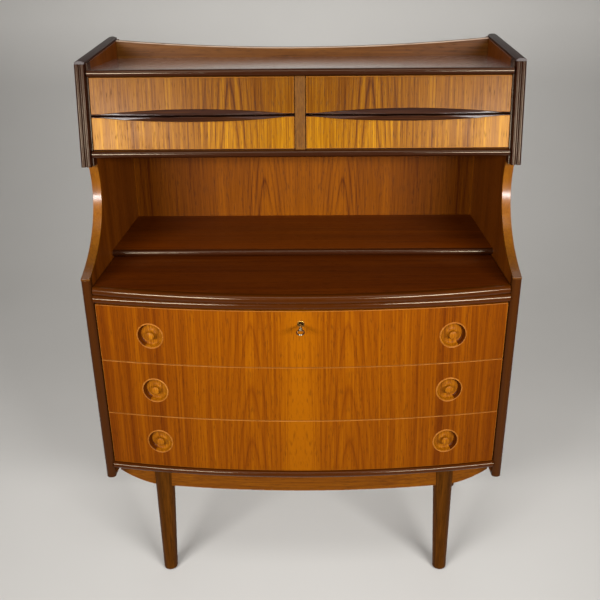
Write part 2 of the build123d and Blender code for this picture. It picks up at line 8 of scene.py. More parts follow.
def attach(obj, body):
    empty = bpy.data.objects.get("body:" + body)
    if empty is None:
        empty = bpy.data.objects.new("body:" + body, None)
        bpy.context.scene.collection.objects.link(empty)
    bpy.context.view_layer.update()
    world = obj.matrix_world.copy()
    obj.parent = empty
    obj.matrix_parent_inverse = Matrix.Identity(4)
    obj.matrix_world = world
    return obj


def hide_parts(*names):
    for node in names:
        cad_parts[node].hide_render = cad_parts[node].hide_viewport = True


# Looks of the secretary desk: a material and eased edges for every CAD node, and finer pieces in place of
# the pulls, key, escutcheon, mouldings, slab nosing, rail, bottom board, upper front strips and caps.
# Metres, in the CAD frame: +Z up, the front faces -Y. The sections of the finer boards and strips are in
# millimetres, with depths counted forwards from the back plane of the desk.

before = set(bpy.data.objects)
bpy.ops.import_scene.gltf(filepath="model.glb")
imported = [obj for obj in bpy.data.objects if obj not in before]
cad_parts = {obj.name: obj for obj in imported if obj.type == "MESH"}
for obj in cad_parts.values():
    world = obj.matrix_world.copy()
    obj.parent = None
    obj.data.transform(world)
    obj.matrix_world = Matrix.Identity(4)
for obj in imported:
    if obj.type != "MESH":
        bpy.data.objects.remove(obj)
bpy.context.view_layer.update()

# ---- camera and light ----
CAMERA_PLACE = (0.0322, -1.5713, 1.2700)
CAMERA_PITCH = -0.4126
CAMERA_YAW = 0.0118
CAMERA_ROLL = -0.0086
CAMERA_LENS = 45.97
CAMERA_SHIFT = (-0.01527, 0.0282)

KEY_LIGHTS = (                # place, size across and down, watts
    ((-1.12, -1.85, 1.32), (1.0, 0.26), 13.6),
    ((1.12, -1.85, 1.32), (1.0, 0.26), 15))
KEY_AIM, KEY_SPREAD = 0.30, 85     # each key light looks to its own side of the desk, in a beam this wide
FILL_LIGHT = ((0.0, -1.3, 2.9), (2.0, 0.7), 17)
WALL_LIGHT = ((0.0, 1.3, 3.1), (3.2, 0.5), 30)
LIGHT_AIM_HEIGHT = 0.75
WALL_AIM = (0.0, 3.2, 1.1)
AMBIENT = 0.11
DAYLIGHT = (1.0, 0.985, 0.96, 1.0)

# ---- shared sizes ----
RAKE = math.atan(34 / 196)    # lean of the upper front
EDGE_EASE = 0.0007            # radius of the eased edges
FRONT_EDGE_EASE = 0.0008      # and of those that are pale: wear, with a painted highlight line
EASED_FROM = 32               # degrees: edges sharper than this are eased
FLAT_WITHIN = 0.05            # degrees: faces as near as this to one plane are joined before that
WELD_WITHIN = 1e-5
BOX_BOARD_ACROSS = 0.05       # boards of a drawer box wider than this in X have their grain along X


def linear(code):
    """Linear RGBA colour of an sRGB hex code."""
    channels = [int(code[i:i + 2], 16) / 255 for i in (0, 2, 4)]
    return (*[c / 12.92 if c < 0.0405 else ((c + 0.055) / 1.055) ** 2.4 for c in channels], 1.0)


class Graph:
    """Node tree of one material, written as short calls."""

    def __init__(self, name):
        self.material = bpy.data.materials.new(name)
        self.material.use_nodes = True
        self.tree = self.material.node_tree
        self.tree.nodes.clear()

    def node(self, kind, inputs=None, **settings):
        made = self.tree.nodes.new("ShaderNode" + kind)
        for key, value in settings.items():
            setattr(made, key, value)
        for key, value in (inputs or {}).items():
            self.feed(made.inputs[key], value)
        return made

    def feed(self, socket, value):
        if isinstance(value, bpy.types.NodeSocket):
            self.tree.links.new(value, socket)
        else:
            socket.default_value = value

    def math(self, operation, a, b=0.0, c=0.0):
        return self.node("Math", {0: a, 1: b, 2: c}, operation=operation).outputs[0]

    def vector(self, x, y, z):
        return self.node("CombineXYZ", {"X": x, "Y": y, "Z": z}).outputs[0]

    def scaled(self, vector, rate):
        return self.node("VectorMath", {0: vector, 3: rate}, operation="SCALE").outputs[0]

    def grey(self, colour):
        """Value of a grey colour."""
        return self.node("SeparateColor", {0: colour}).outputs[0]

    def noise(self, vector, detail=2.0, roughness=0.5):
        inputs = {"Vector": vector, "Scale": 1.0, "Detail": detail, "Roughness": roughness}
        return self.node("TexNoise", inputs).outputs["Fac"]

    def ramp(self, value, stops, interpolation="LINEAR"):
        made = self.node("ValToRGB", {"Fac": value})
        made.color_ramp.interpolation = interpolation
        elements = made.color_ramp.elements
        while len(elements) < len(stops):
            elements.new(0.5)
        for element, (place, colour) in zip(elements, stops):
            element.position = place
            element.color = colour if isinstance(colour, tuple) else (colour, colour, colour, 1.0)
        return made.outputs["Color"]

    def mix(self, factor, a, b, blend="MIX"):
        made = self.node("Mix", {0: factor, 6: a, 7: b}, data_type="RGBA", blend_type=blend)
        return made.outputs[2]

    def surface(self, inputs):
        shader = self.node("BsdfPrincipled", inputs)
        output = self.node("OutputMaterial")
        self.tree.links.new(shader.outputs[0], output.inputs["Surface"])
        return self.material


# ---- wood ----
LEAF_STEP = 0.731             # metres between the places in the log that two leaves of veneer come from
DRIFT = 0.012                 # how far the grain wanders sideways
RING_DRIFT = 0.010            # how unevenly the growth rings are spaced
RING_PROFILE = ((0.0, 0.20), (0.12, 0.80), (0.50, 1.0), (0.90, 0.60), (1.0, 0.22))
RING_FADE = ((0.015, 1.0), (0.07, 0.15))    # strength of the rings at these distances from their middle
RING_MEAN = 0.72
PLAIN = (1.0, 1.0, 1.0, 1.0)


def grain_frame(graph, grain, tilt, mirror, leaf):
    """Coordinates across, into and along the grain, in metres."""
    place = graph.node("TexCoord").outputs["Object"]
    if tilt:
        turned = graph.node("VectorRotate", {"Vector": place, "Angle": tilt}, rotation_type="X_AXIS")
        place = turned.outputs[0]
    parts = graph.node("SeparateXYZ", {"Vector": place}).outputs
    x, y, z = parts[0], parts[1], parts[2]
    across, depth, along = {"X": (z, y, x), "Y": (z, x, y), "Z": (x, y, z)}[grain]
    if mirror is not None:
        across = graph.math("ABSOLUTE", graph.math("SUBTRACT", across, mirror))
    if leaf is not None:
        start, width = leaf
        number = graph.math("FLOOR", graph.math("DIVIDE", graph.math("SUBTRACT", across, start), width))
        depth = graph.math("MULTIPLY_ADD", number, LEAF_STEP, depth)
    return across, depth, along


def ring_figure(graph, across, along, figure):
    """Growth rings cut at a slant: arches that point up the grain, straight lines beside them.

    figure: middle of the arches across the grain, their roundness, how fast they narrow along the grain, the
    width of a ring, and where along the grain an arch has its top.
    """
    centre, pith, taper, spacing, apex = figure
    side = graph.math("SUBTRACT", across, centre)
    reach = graph.math("SQRT", graph.math("MULTIPLY_ADD", side, side, pith * pith))
    radius = graph.math("MULTIPLY_ADD", along, taper, reach)
    uneven = graph.noise(graph.vector(graph.math("MULTIPLY", radius, 45.0), 0.0, 0.0), 2.0)
    uneven = graph.math("MULTIPLY", graph.math("SUBTRACT", uneven, 0.5), RING_DRIFT)
    phase = graph.math("ADD", graph.math("SUBTRACT", radius, pith + taper * apex), uneven)
    share = graph.math("FRACT", graph.math("DIVIDE", phase, spacing))
    ring = graph.grey(graph.ramp(share, RING_PROFILE))
    fade = graph.grey(graph.ramp(graph.math("ABSOLUTE", side), RING_FADE))
    return graph.math("MULTIPLY", graph.math("SUBTRACT", ring, RING_MEAN), fade)


def wood(name, palette, grain="Z", tilt=0.0, mirror=None, leaf=None, figure=None, seed=0.0, lean=0.0,
         broad=0.55, streak=0.70, fibre=0.75, rings=0.5, pores=0.35, bump=0.2, painted_end_shade=0.0, leaf_edge=None,
         painted_shade_below=None, rough=0.40, gloss=0.10, warm=PLAIN, coat=0.0, polish=0.10):
    """Oiled hardwood, its grain along the axis named by grain.

    tilt: lean of the piece, which the grain follows. lean: slant of the grain on the piece.
    mirror: place across the grain where two halves match. leaf: start and width of the leaves of veneer.
    figure and rings: the growth rings, and how much they show. seed: sets one wood's grain apart.
    broad, streak, fibre, pores, bump: how much bands, lines, threads, pores and relief show.
    painted_end_shade: how fast the wood darkens away from the middle, a painted shade. leaf_edge: half width
    of a paler middle leaf and how
    much paler it is. painted_shade_below: two heights, and the share of the colour left at the lower one, a
    painted shade that darkens the wood below.
    rough, gloss, warm: roughness, strength and tint of the bare wood's reflections.
    coat, polish: strength and roughness of a clear coat over it.
    """
    graph = Graph(name)
    across, depth, along = grain_frame(graph, grain, tilt, mirror, leaf)
    from_middle = across
    across = graph.math("ADD", across, seed)
    across = graph.math("MULTIPLY_ADD", along, lean, across)
    slow = graph.vector(graph.math("MULTIPLY", across, 4.0), depth, graph.math("MULTIPLY", along, 1.6))
    warped = graph.math("MULTIPLY_ADD", graph.noise(slow), DRIFT, across)

    def streaks(wide, long, detail, roughness=0.55):
        rates = ((warped, wide), (depth, wide), (along, long))
        stretched = graph.vector(*[graph.math("MULTIPLY", value, rate) for value, rate in rates])
        return graph.noise(stretched, detail, roughness)

    bands = streaks(16.0, 0.35, 2.0)
    lines = streaks(150.0, 0.9, 3.0, 0.65)
    threads = streaks(430.0, 6.0, 2.0, 0.6)
    dashes = streaks(420.0, 50.0, 1.0)
    tone = 0.5
    for value, strength in ((bands, broad), (lines, streak), (threads, fibre)):
        tone = graph.math("MULTIPLY_ADD", graph.math("SUBTRACT", value, 0.5), strength, tone)
    if figure:
        centred = graph.math("SUBTRACT", warped, seed)
        tone = graph.math("MULTIPLY_ADD", ring_figure(graph, centred, along, figure), rings, tone)
    # painted shade: the wood darkens away from the middle across the grain
    if painted_end_shade:
        beyond = graph.math("SUBTRACT", graph.math("ABSOLUTE", from_middle), 0.2)
        tone = graph.math("MULTIPLY_ADD", beyond, -painted_end_shade, tone)
    if leaf_edge:
        half, lift = leaf_edge
        inside = graph.math("LESS_THAN", from_middle, half)
        tone = graph.math("MULTIPLY_ADD", inside, lift, tone)
    dark, middle, light = (linear(code) for code in palette)
    colour = graph.ramp(tone, ((0.12, dark), (0.5, middle), (0.88, light)))
    pore_share = graph.grey(graph.ramp(dashes, ((0.28, 1.0), (0.42, 0.0))))
    pore_colour = (*[0.4 * channel for channel in dark[:3]], 1.0)
    colour = graph.mix(graph.math("MULTIPLY", pore_share, pores), colour, pore_colour)
    # painted shade: the colour darkens below the higher of the two heights
    if painted_shade_below:
        low, high, left = painted_shade_below
        limits = {"Value": along, "From Min": low, "From Max": high, "To Min": left, "To Max": 1.0}
        share = graph.node("MapRange", limits, interpolation_type="SMOOTHSTEP").outputs[0]
        colour = graph.mix(1.0, colour, graph.vector(share, share, share), "MULTIPLY")
    smudge = graph.noise(graph.scaled(graph.vector(across, depth, along), 14.0), 3.0)
    roughness = graph.math("MULTIPLY_ADD", smudge, 0.14, rough - 0.07)
    roughness = graph.math("MULTIPLY_ADD", pore_share, 0.10, roughness)
    height = graph.math("MULTIPLY_ADD", pore_share, -1.0, graph.math("MULTIPLY", threads, 0.6))
    normal = graph.node("Bump", {"Strength": bump, "Distance": 0.0003, "Height": height}).outputs[0]
    return graph.surface({"Base Color": colour, "Roughness": roughness, "Normal": normal, "IOR": 1.45,
                          "Specular IOR Level": gloss, "Specular Tint": warm, "Coat Weight": coat,
                          "Coat Roughness": polish})


# ---- metal and plastic ----
def metal(name, colour, tarnish, rough):
    """Worn metal with fine scratches and tarnish that gathers in patches."""
    graph = Graph(name)
    place = graph.node("TexCoord").outputs["Object"]
    patches = graph.noise(graph.scaled(place, 180.0), 4.0, 0.6)
    parts = graph.node("SeparateXYZ", {"Vector": place}).outputs
    stretched = [graph.math("MULTIPLY", part, rate) for part, rate in zip(parts, (2600, 500, 2600))]
    scratches = graph.noise(graph.vector(*stretched), 2.0)
    base = graph.mix(graph.ramp(patches, ((0.40, 0.0), (0.62, 1.0))), linear(colour), linear(tarnish))
    roughness = graph.math("MULTIPLY_ADD", patches, 0.30, rough - 0.1)
    normal = graph.node("Bump", {"Strength": 0.2, "Distance": 0.0001, "Height": scratches}).outputs[0]
    return graph.surface({"Base Color": base, "Metallic": 1.0, "Roughness": roughness, "Normal": normal})


def nylon(name, colour):
    """Moulded plastic with a faint grained skin and scuffs."""
    graph = Graph(name)
    place = graph.node("TexCoord").outputs["Object"]
    fine = graph.noise(graph.scaled(place, 1500.0), 2.0)
    scuff = graph.noise(graph.scaled(place, 160.0), 4.0)
    base = graph.mix(graph.ramp(scuff, ((0.45, 0.0), (0.7, 0.5))), linear(colour), linear("6B5F50"))
    roughness = graph.math("MULTIPLY_ADD", scuff, 0.25, 0.35)
    normal = graph.node("Bump", {"Strength": 0.25, "Distance": 0.0001, "Height": fine}).outputs[0]
    return graph.surface({"Base Color": base, "Roughness": roughness, "Normal": normal})


# ---- palettes: dark, middle, light ----
PALETTES = {
    "golden": ("4D2301", "7A4A01", "9F6C04"),
    # darker colours for the upper row of small drawers: painted shade under the top moulding
    "amber_shaded": ("3C1800", "613500", "7E5001"),
    "orange": ("542301", "6D3501", "834701"),
    "side": ("361401", "5D2B03", "723B08"),
    "niche": ("401700", "633100", "763E00"),
    "lipping": ("5E3303", "714004", "834F0A"),
    "strip": ("120502", "270E05", "3C1B0C"),
    "lower_strip": ("1F0B02", "391B06", "4B290B"),
    "moulding": ("160702", "2A1004", "3D1B07"),
    # greyish colours of the top board and niche ceiling: the wood with a painted sheen
    "top": ("46322A", "77574D", "9E766B"),
    "gallery": ("2A1302", "4D2A08", "633C10"),
    "gallery_edge": ("6D5543", "917965", "B29F8D"),
    "divider": ("3E2307", "5C380F", "744B18"),
    "slab": ("2D0C00", "461A00", "5D2902"),
    "shelf": ("3C1300", "5A2500", "773701"),
    "rail": ("240C01", "3B1801", "4F2403"),
    "lip": ("140905", "2D1408", "4E2D13"),
    "pull": ("552602", "864C04", "AB6E0E"),
    # dark colour of the pulls' recess walls on their outer side: painted shade
    "pull_wall_painted_shade": ("2A0A00", "471C00", "5C2D01"),
    "apron": ("482100", "623301", "794402"),
    "leg": ("271101", "482604", "603609"),
    "box": ("9A7248", "C69E6C", "DCBB8C"),
    "runner": ("8A6238", "B48C58", "CDAA78"),
    "plywood": ("8E5E30", "B88850", "D0A76E"),
    # pale colour of the eased front edges and pull rims: wear, with a painted highlight line
    "edge": ("753E0C", "92571B", "A86E2F")}
SMALL_FRONT = {               # veneer of the small drawer fronts
    "tilt": RAKE, "leaf": (-0.168, 0.168), "mirror": 0.0, "figure": (0.143, 0.010, 0.080, 0.0125, 1.071),
    "rings": 0.7, "broad": 0.5, "fibre": 1.2, "pores": 0.55, "rough": 0.32, "gloss": 0.17,
    "warm": (1.0, 0.72, 0.5, 1.0)}
EDGED = {                     # solid dark wood with a hard sheen, for mouldings and strips
    "broad": 0.3, "streak": 0.2, "fibre": 0.15, "pores": 0.1, "bump": 0.0, "rough": 0.17, "gloss": 0.30,
    "warm": (1.0, 0.86, 0.62, 1.0)}

MATERIALS = {
    "small_front": wood("wood_small_front", PALETTES["golden"], **SMALL_FRONT),
    # darker copy of the small front wood for the upper row: painted shade under the top moulding
    "small_front_upper_shaded": wood("wood_small_front_upper", PALETTES["amber_shaded"], seed=0.9, **SMALL_FRONT),
    # the big fronts darken towards their ends: painted shade
    "big_front": wood("wood_big_front", PALETTES["orange"], mirror=-0.0035, leaf_edge=(0.040, 0.16),
                      lean=0.02, figure=(0.115, 0.022, 0.08, 0.011, 0.66), rings=0.4, painted_end_shade=0.75, broad=0.7,
                      streak=1.1, gloss=0.05),
    # the niche back darkens towards its corners: painted shade
    "niche_back": wood("wood_niche_back", PALETTES["niche"], leaf=(-0.409, 0.205), mirror=0.0,
                       figure=(0.10, 0.012, 0.10, 0.010, 0.93), rings=0.7, painted_end_shade=0.9),
    "side": wood("wood_side", PALETTES["side"], seed=1.7),
    # the lipping darkens towards its lower end: painted shade, a dark reflection
    "lipping": wood("wood_lipping", PALETTES["lipping"], seed=2.3, streak=0.8, broad=0.4, coat=0.4,
                    polish=0.2, painted_shade_below=(0.70, 0.86, 0.35)),
    "strip": wood("wood_strip", PALETTES["strip"], seed=3.1, tilt=RAKE,
                  **{**EDGED, "streak": 0.1, "gloss": 0.18, "rough": 0.27}),
    "lower_strip": wood("wood_lower_strip", PALETTES["lower_strip"], seed=3.7, **{**EDGED, "gloss": 0.14}),
    "cap": wood("wood_cap", PALETTES["strip"], grain="Y", seed=4.2,
                **{**EDGED, "coat": 0.8, "polish": 0.42, "gloss": 0.0}),
    "moulding": wood("wood_moulding", PALETTES["moulding"], grain="X", seed=5.1, **{**EDGED, "gloss": 0.40}),
    # top board wood whose greyish colour holds a painted sheen
    "top": wood("wood_top_painted_sheen", PALETTES["top"], grain="X", seed=5.9, coat=1.0, polish=0.16, gloss=1.0,
                rough=0.25, broad=0.3),
    "gallery": wood("wood_gallery", PALETTES["gallery"], grain="X", seed=6.6),
    "gallery_lipping": wood("wood_gallery_lipping", PALETTES["gallery_edge"], grain="X", seed=7.3),
    "divider": wood("wood_divider", PALETTES["divider"], seed=7.9, streak=0.5),
    "slab": wood("wood_slab", PALETTES["slab"], grain="X", seed=8.4),
    "shelf": wood("wood_shelf", PALETTES["shelf"], grain="X", seed=8.9),
    "rail": wood("wood_rail", PALETTES["rail"], grain="X", seed=9.2, **EDGED),
    "lip": wood("wood_lip", PALETTES["lip"], grain="X", seed=9.9, streak=0.4, coat=0.35, polish=0.28,
                bump=0.05),
    "pull": wood("wood_pull", PALETTES["pull"], seed=10.6, streak=1.0),
    "pull_wall_painted_shade": wood("wood_pull_wall", PALETTES["pull_wall_painted_shade"], seed=10.9),
    "apron": wood("wood_apron", PALETTES["apron"], grain="X", seed=11.2),
    "leg": wood("wood_leg", PALETTES["leg"], seed=12.5, gloss=0.03),
    "box_side": wood("wood_box_side", PALETTES["box"], grain="Y", seed=13.1, rough=0.6),
    "box_cross": wood("wood_box_cross", PALETTES["box"], grain="X", seed=13.9, rough=0.6),
    "runner": wood("wood_runner", PALETTES["runner"], grain="Y", seed=14.2, rough=0.65),
    "plywood": wood("wood_plywood", PALETTES["plywood"], seed=15.3, rough=0.65),
    "edge": wood("wood_edge_wear_and_highlight", PALETTES["edge"], grain="X", seed=16.1),
    "steel": metal("screw_steel", "A9A9A6", "6D6A64", 0.36),
    "key_steel": metal("key_steel", "C2B9A2", "80705A", 0.24),
    "lock_steel": metal("lock_steel", "9C988E", "5C564E", 0.40),
    "brass": metal("escutcheon_brass", "C99A48", "6E4E22", 0.28),
    "glide": nylon("glide_nylon", "2C2723")}

NODE_LOOKS = {
    "side_panel_": "side", "upper_front_strip_": "strip", "lower_front_strip_": "lower_strip",
    "side_caps": "cap", "curved_lippings": "lipping", "top_board": "top", "top_moulding": "moulding",
    "niche_ceiling_moulding": "moulding", "niche_ceiling": "top", "gallery_lipping": "gallery_lipping",
    "back_gallery": "gallery", "centre_divider": "divider", "niche_shelf_nosing": "moulding",
    "niche_shelf": "shelf", "desk_rail": "rail", "bottom_board": "rail", "writing_slab": "slab",
    "slab_nosing": "rail", "upper_back_panel": "niche_back", "lower_back_panel": "plywood",
    "back_panel_screws": "steel", "leg_front_": "leg", "leg_rear_": "leg", "leg_glides": "glide",
    "apron_": "apron", "leg_frame_cross_rails": "runner", "leg_frame_screws": "steel",
    "small_drawer_runners": "runner", "big_drawer_runners": "runner", "lock_case": "lock_steel",
    "lock_bolt": "lock_steel", "key_escutcheon": "brass", "key": "key_steel"}
DRAWER_LOOKS = {"_lip": "lip", "_box": "box_side", "_pulls": "pull"}


def look_of(node):
    """Material of a CAD node, from its name."""
    if "_drawer_" in node and "runners" not in node:
        for part, look in DRAWER_LOOKS.items():
            if part in node:
                return MATERIALS[look]
        # the upper small drawers take the darker copy: painted shade
        if node.startswith("small_drawer_upper"):
            return MATERIALS["small_front_upper_shaded"]
        return MATERIALS["small_front" if node.startswith("small") else "big_front"]
    matches = [key for key in NODE_LOOKS if node.startswith(key)]
    return MATERIALS[NODE_LOOKS[max(matches, key=len)]]


# ---- eased edges on the CAD nodes ----
def ease_edges(piece, width=EDGE_EASE, wear_and_highlight=-1):
    """Rounds every sharp edge a little and shades the piece smooth.

    The last argument is the number of the piece's material that the eased edges take, such as a pale edge
    wood that shows wear and a painted highlight, or -1 for that of the faces beside them.
    """
    for polygon in piece.data.polygons:
        polygon.use_smooth = True
    weld = piece.modifiers.new("weld", "WELD")
    weld.merge_threshold = WELD_WITHIN
    flat = piece.modifiers.new("flat", "DECIMATE")
    flat.decimate_type = "DISSOLVE"
    flat.angle_limit = math.radians(FLAT_WITHIN)
    bevel = piece.modifiers.new("ease", "BEVEL")
    bevel.width = width
    bevel.segments = 2
    bevel.limit_method = "ANGLE"
    bevel.angle_limit = math.radians(EASED_FROM)
    bevel.use_clamp_overlap = False
    bevel.harden_normals = True
    bevel.material = wear_and_highlight
    normals = piece.modifiers.new("normals", "WEIGHTED_NORMAL")
    normals.keep_sharp = True


def turn_cross_grain(piece):
    """Second material for the boards of a drawer box that run across the desk."""
    piece.data.materials.append(MATERIALS["box_cross"])
    shape = bmesh.new()
    shape.from_mesh(piece.data)
    shape.faces.ensure_lookup_table()
    waiting = set(shape.faces)
    while waiting:
        island, border = set(), [waiting.pop()]
        while border:
            face = border.pop()
            island.add(face)
            near = {other for vert in face.verts for other in vert.link_faces} & waiting
            waiting -= near
            border.extend(near)
        wide = [vert.co.x for face in island for vert in face.verts]
        if max(wide) - min(wide) > BOX_BOARD_ACROSS:
            for face in island:
                piece.data.polygons[face.index].material_index = 1
    shape.free()


def dress_nodes():
    """Material and eased edges of every CAD node. Veneered fronts have pale edges: wear, with a painted
    highlight line.
    """
    for name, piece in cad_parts.items():
        piece.data.materials.clear()
        piece.data.materials.append(look_of(name))
        if name.endswith("_front") or name.startswith("small_drawer") and "_front_" in name:
            # pale eased edges: wear, with a painted highlight line
            piece.data.materials.append(MATERIALS["edge"])
            ease_edges(piece, FRONT_EDGE_EASE, wear_and_highlight=1)
            continue
        if "_box" in name:
            turn_cross_grain(piece)
        ease_edges(piece)


# ---- shapes of the finer pieces ----
BACK_PLANE = 0.2705           # Y of the back plane of the desk
UP = Vector((0, 0, 1))
FORWARD = Vector((0, -1, 0))


def new_object(name, mesh_data, material):
    piece = bpy.data.objects.new(name, mesh_data)
    bpy.context.scene.collection.objects.link(piece)
    piece.data.materials.append(material)
    return piece


def fore(distance):
    """Y, in metres, of a place this many millimetres in front of the back plane."""
    return BACK_PLANE - distance / 1000


def build_piece(name, points, faces, look, body, slot, nodes):
    """Piece that rides on a body and takes the place of CAD nodes."""
    mesh = bpy.data.meshes.new(name)
    mesh.from_pydata(points, [], faces)
    for polygon in mesh.polygons:
        polygon.use_smooth = True
    piece = new_object(name, mesh, MATERIALS[look])
    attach(piece, body)
    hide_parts(*nodes)
    return piece


def lathe(outline, place, axis, steps=96):
    """Points and faces of (radius, forward) pairs turned round the unit vector axis, which is horizontal."""
    side = UP.cross(axis)
    points, faces = [], []
    for radius, forward in outline:
        for step in range(steps):
            angle = 2 * math.pi * step / steps
            spoke = side * math.cos(angle) + UP * math.sin(angle)
            points.append(tuple(Vector(place) + spoke * max(radius, 1e-6) + axis * forward))
    for ring in range(len(outline) - 1):
        for step in range(steps):
            after = (step + 1) % steps
            faces.append((ring * steps + step, ring * steps + after,
                          (ring + 1) * steps + after, (ring + 1) * steps + step))
    return points, faces


def rounded(corners, radius, steps=5):
    """Outline with each inner corner replaced by a short curve."""
    out = [corners[0]]
    for before, corner, after in zip(corners[:-2], corners[1:-1], corners[2:]):
        b, c, a = Vector(before), Vector(corner), Vector(after)
        reach = min(radius, (b - c).length * 0.45, (a - c).length * 0.45)
        start, end = c + (b - c).normalized() * reach, c + (a - c).normalized() * reach
        for step in range(steps + 1):
            t = step / steps
            out.append(tuple(start * (1 - t) ** 2 + c * (2 * t * (1 - t)) + end * t * t))
    return [*out, corners[-1]]


# ---- pulls ----
FACE_HALF, FACE_BOW, FACE_MID = 0.407, 0.038, 0.489    # bow of the big drawer fronts, and its foremost place
FACE_RADIUS = (FACE_HALF ** 2 + FACE_BOW ** 2) / (2 * FACE_BOW)
DRAWER_MIDDLES = {"bottom": 0.38375, "middle": 0.50625, "top": 0.62875}
PULL_X = 0.300
PULL_OUTLINE = (              # radius and distance in front of the drawer's face: rim, recess, knob
    (0.0270, -0.0150), (0.0270, 0.0), (0.0262, 0.0008), (0.0251, 0.0008), (0.0243, -0.0002),
    (0.0228, -0.0080), (0.0205, -0.0104), (0.0140, -0.0106), (0.0096, -0.0097), (0.0072, -0.0070),
    (0.0070, -0.0030), (0.0084, -0.0002), (0.0084, 0.0020), (0.0070, 0.0030), (0.0040, 0.0038), (0.0, 0.0041))
PULL_SOFTNESS = 0.0007
RIM_INSIDE, WALL_INSIDE = 0.0254, 0.0212
PAINTED_SHADE_FROM = 0.45              # painted shade: the recess wall takes a darker colour away from the desk's middle, from this cosine on


def make_pull(row, side, x, height):
    lean = math.asin(x / FACE_RADIUS)
    drop = FACE_RADIUS - math.sqrt(FACE_RADIUS ** 2 - x * x)
    place = (x, BACK_PLANE - FACE_MID + drop, height)
    axis = Vector((math.sin(lean), -math.cos(lean), 0))
    points, faces = lathe(rounded(PULL_OUTLINE, PULL_SOFTNESS), place, axis)
    pull = build_piece(f"pull_{row}_{side}_turned", points, faces, "pull", f"big_drawer_{row}", "pull_wood",
                       (f"big_drawer_{row}_pulls",))
    for look in ("edge", "pull_wall_painted_shade"):
        pull.data.materials.append(MATERIALS[look])
    for polygon in pull.data.polygons:
        offset = polygon.center - Vector(place)
        proud = offset.dot(axis)
        radius = (offset - axis * proud).length
        # the pull's rim takes the pale edge wood: wear, with a painted highlight
        if radius > RIM_INSIDE:
            polygon.material_index = 1
        # the recess wall away from the desk's middle takes the dark colour: painted shade
        elif radius > WALL_INSIDE and math.copysign(offset.x, offset.x * x) > PAINTED_SHADE_FROM * radius:
            polygon.material_index = 2


def make_pulls():
    for row, height in DRAWER_MIDDLES.items():
        for side, x in (("left", -PULL_X), ("right", PULL_X)):
            make_pull(row, side, x, height)


# ---- key and escutcheon ----
KEY_HEIGHT = 0.663
KEY_TIP, KEY_END = 469.4, 541.0          # millimetres in front of the back plane
BOW_LONG, BOW_WIDE, BOW_THICK, BOW_BAND = 25.0, 17.0, 3.0, 3.2
BIT_SPAN, BIT_BACK, BIT_FRONT = (0.001, 0.008), 0.6, 4     # from the axis; millimetres in front of the tip
BIT_HALF = 0.0012
KEY_SOFTNESS = 0.0003
ESCUTCHEON_OUTLINE = (        # radius and distance in front of the drawer's face
    (0.0040, -0.006), (0.0040, 0.0004), (0.0045, 0.0009), (0.0060, 0.0010), (0.0067, 0.0006), (0.0068, 0.0),
    (0.0068, -0.006), (0.0040, -0.006))


def tube(path, section):
    """Closed tube along a loop of (centre, outward, up) frames with an oval section."""
    points, faces, count = [], [], len(section)
    for centre, outward, up in path:
        points += [tuple(centre + outward * u + up * v) for u, v in section]
    total = len(path)
    for ring in range(total):
        for step in range(count):
            after, following = (step + 1) % count, (ring + 1) % total
            faces.append((ring * count + step, ring * count + after,
                          following * count + after, following * count + step))
    return points, faces


def merge(*parts):
    """Points and faces of several parts as one."""
    points, faces = [], []
    for more_points, more_faces in parts:
        start = len(points)
        points += more_points
        faces += [tuple(index + start for index in face) for face in more_faces]
    return points, faces


def key_shaft():
    """Round shaft with a blunt tip and a collar behind the bow."""
    bow_back = KEY_END - BOW_LONG
    shaft = [(0.0, KEY_TIP), (0.0019, KEY_TIP), (0.0025, KEY_TIP + 0.8), (0.0025, bow_back - 4),
             (0.0032, bow_back - 3.6), (0.0040, bow_back - 2.6), (0.0040, bow_back - 0.8), (0.0032, bow_back),
             (0.0027, bow_back + 0.6), (0.0024, bow_back + 2.4), (0.0, bow_back + 2.6)]
    outline = rounded([(radius, (depth - KEY_TIP) / 1000) for radius, depth in shaft], KEY_SOFTNESS, 3)
    return lathe(outline, (0, fore(KEY_TIP), KEY_HEIGHT), FORWARD, 40)


def key_bow(path_steps=72, section_steps=20):
    """Oval ring with a rounded section, lying flat."""
    half_wide, half_long = (BOW_WIDE - BOW_BAND) / 2000, (BOW_LONG - BOW_BAND) / 2000
    centre = Vector((0, fore(KEY_END - BOW_LONG / 2), KEY_HEIGHT))
    path = []
    for step in range(path_steps):
        angle = 2 * math.pi * step / path_steps
        away = Vector((math.cos(angle) * half_long, math.sin(angle) * half_wide, 0)).normalized()
        spot = Vector((math.cos(angle) * half_wide, math.sin(angle) * half_long, 0))
        path.append((centre + spot, away, UP))
    turns = [2 * math.pi * step / section_steps for step in range(section_steps)]
    section = [(math.cos(turn) * BOW_BAND / 2000, math.sin(turn) * BOW_THICK / 2000) for turn in turns]
    return tube(path, section)


def key_bit():
    """Flat bit on one side of the shaft, near its tip."""
    depths = (fore(KEY_TIP + BIT_FRONT), fore(KEY_TIP + BIT_BACK))
    heights = (KEY_HEIGHT - BIT_HALF, KEY_HEIGHT + BIT_HALF)
    corners = [(x, y, z) for x in BIT_SPAN for y in depths for z in heights]
    sides = [(0, 1, 3, 2), (4, 6, 7, 5), (0, 4, 5, 1), (2, 3, 7, 6), (0, 2, 6, 4), (1, 5, 7, 3)]
    return corners, sides


def make_key():
    points, faces = merge(key_shaft(), key_bow(), key_bit())
    build_piece("key_turned", points, faces, "key_steel", "key", "key_steel", ("key",))


def make_escutcheon():
    outline = rounded(ESCUTCHEON_OUTLINE, KEY_SOFTNESS, 3)
    points, faces = lathe(outline, (0, fore(FACE_MID * 1000), KEY_HEIGHT), FORWARD, 64)
    build_piece("escutcheon_ring", points, faces, "brass", "big_drawer_top", "escutcheon_brass",
                ("key_escutcheon",))


